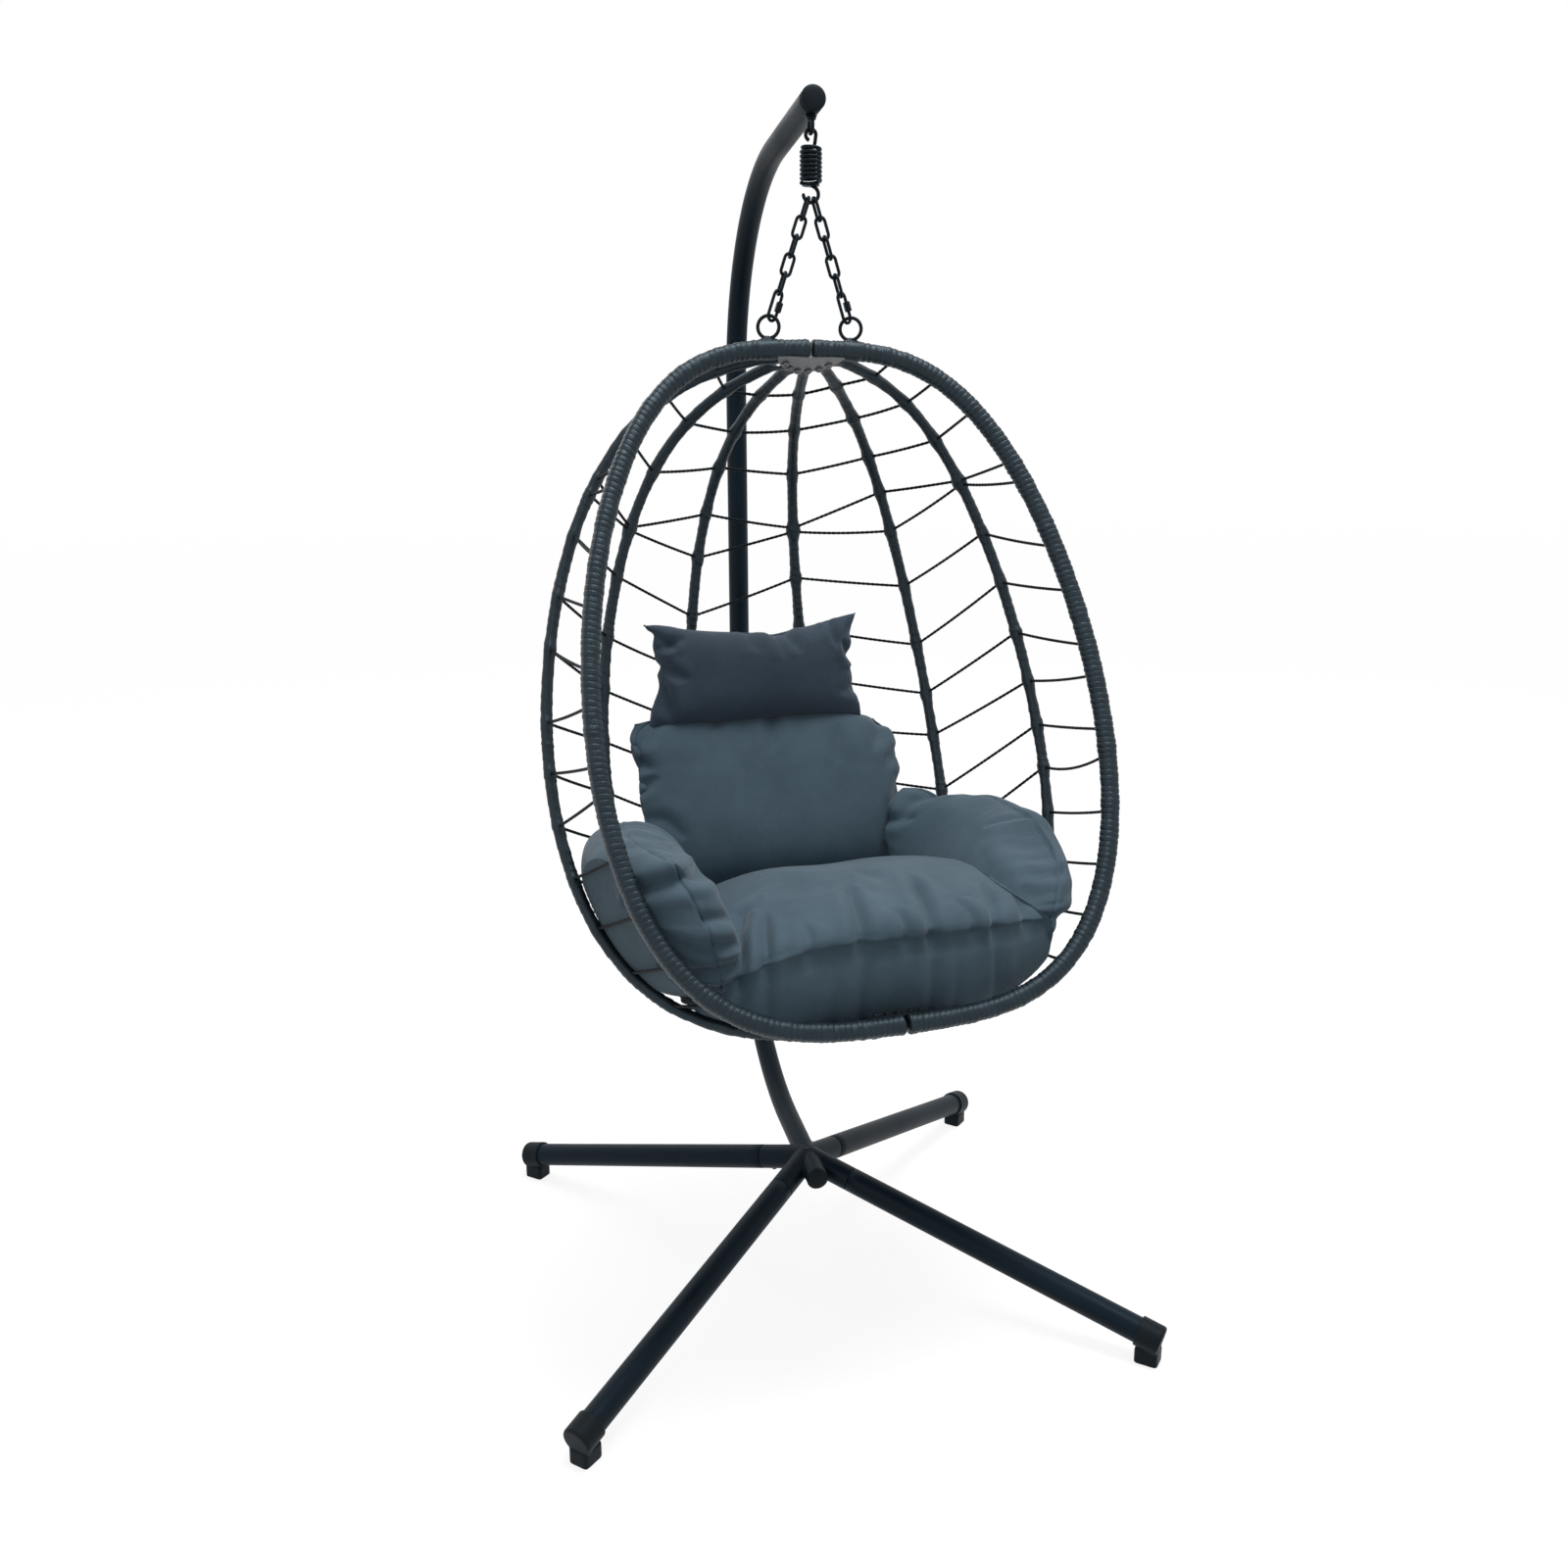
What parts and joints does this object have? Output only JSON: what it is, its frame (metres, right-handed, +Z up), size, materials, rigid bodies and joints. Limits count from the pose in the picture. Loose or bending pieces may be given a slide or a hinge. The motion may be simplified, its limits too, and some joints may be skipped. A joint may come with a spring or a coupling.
{
  "type": "hanging egg chair",
  "caption": "Hanging egg chair: wicker-wrapped open basket laced with cord, cushions, chains and a spring under a C-shaped tube stand on sloping legs.",
  "frame": {"origin": "middle of the box round the stand and basket, at the floor", "axes": "+Z up, -Y towards the open side of the basket with the post behind it, +X to the sitter's left hand"},
  "size_m": [0.961, 0.985, 1.9441],
  "materials": {
    "stand": "satin powder coat",
    "plastic": "moulded plastic",
    "hanger": "satin paint",
    "rim_wicker": "flat wicker wrapped round a tube",
    "rib_wicker": "wicker wrapped round a steel bar",
    "plate": "bright zinc",
    "lacing": "braided cord",
    "cushion": "plain woven cover"
  },
  "bodies": {
    "stand": {"lower_post": "stand", "upper_post": "stand", "hub_plug": "plastic", "top_plug": "plastic", "leg_front_left": "stand", "foot_cap_front_left": "plastic", "leg_screw_front_left": "hanger", "leg_front_right": "stand", "foot_cap_front_right": "plastic", "leg_screw_front_right": "hanger", "leg_back_right": "stand", "foot_cap_back_right": "plastic", "leg_screw_back_right": "hanger", "leg_back_left": "stand", "foot_cap_back_left": "plastic", "leg_screw_back_left": "hanger"},
    "eye": {"hanging_eye": "hanger"},
    "spring_top": {"spring": "hanger"},
    "hook": {"spring_hook": "hanger"},
    "sling": {"chain_link_left_1": "hanger", "chain_link_left_2": "hanger", "chain_link_left_3": "hanger", "chain_link_left_4": "hanger", "chain_link_left_5": "hanger", "chain_link_right_1": "hanger", "chain_link_right_2": "hanger", "chain_link_right_3": "hanger", "chain_link_right_4": "hanger", "chain_link_right_5": "hanger", "quick_link_left": "hanger", "quick_link_right": "hanger"},
    "sleeve_left": {"link_sleeve_left": "hanger"},
    "sleeve_right": {"link_sleeve_right": "hanger"},
    "basket": {"hanging_ring_left": "hanger", "hanging_ring_right": "hanger", "rim_left": "rim_wicker", "rim_right": "rim_wicker", "rib_1": "rib_wicker", "rib_2": "rib_wicker", "rib_3": "rib_wicker", "rib_4": "rib_wicker", "rib_5": "rib_wicker", "rib_6": "rib_wicker", "hinge_plate_top": "plate", "hinge_plate_bottom": "plate", "lacing_1": "lacing", "lacing_2": "lacing", "lacing_3": "lacing", "lacing_4": "lacing", "lacing_5": "lacing", "lacing_6": "lacing", "lacing_7": "lacing", "back_cushion": "cushion", "arm_pad_left": "cushion", "arm_pad_right": "cushion", "seat_cushion": "cushion"},
    "pillow": {"head_pillow": "cushion"}
  },
  "joints": [
    {"name": "eye_turn", "type": "hinge", "parent": "stand", "child": "eye", "pos_m": [0, -0.06345, 1.8895], "axis": [0, 0, 1], "range_deg": [-30, 30]},
    {"name": "swing_fore_aft", "type": "hinge", "parent": "eye", "child": "spring_top", "pos_m": [0, -0.06345, 1.8856], "axis": [1, 0, 0], "range_deg": [-20, 7]},
    {"name": "spring_bounce", "type": "slide", "parent": "spring_top", "child": "hook", "axis": [0, 0, -1], "range_m": [-0.004, 0.03], "stiffness_N_per_m": 12000, "springref_m": -0.01673, "deforming": ["spring"]},
    {"name": "swing_sideways", "type": "hinge", "parent": "hook", "child": "sling", "pos_m": [0, -0.06345, 1.795], "axis": [0, 1, 0], "range_deg": [-10, 10]},
    {"name": "basket_tip", "type": "hinge", "parent": "sling", "child": "basket", "pos_m": [-0.00037, -0.05847, 1.6193], "axis": [0.9972, 0.075, 0], "range_deg": [-4, 4]},
    {"name": "sleeve_left_turn", "type": "hinge", "parent": "sling", "child": "sleeve_left", "pos_m": [-0.0502, -0.06097, 1.63257], "axis": [0.3216, 0.0117, 0.9468], "continuous": true},
    {"name": "sleeve_right_turn", "type": "hinge", "parent": "sling", "child": "sleeve_right", "pos_m": [0.06277, -0.04742, 1.63743], "axis": [-0.317, -0.0688, 0.9459], "continuous": true},
    {"name": "pillow_height", "type": "slide", "parent": "basket", "child": "pillow", "axis": [0.0187, -0.2489, 0.9684], "range_m": [0, 0.04]}
  ]
}
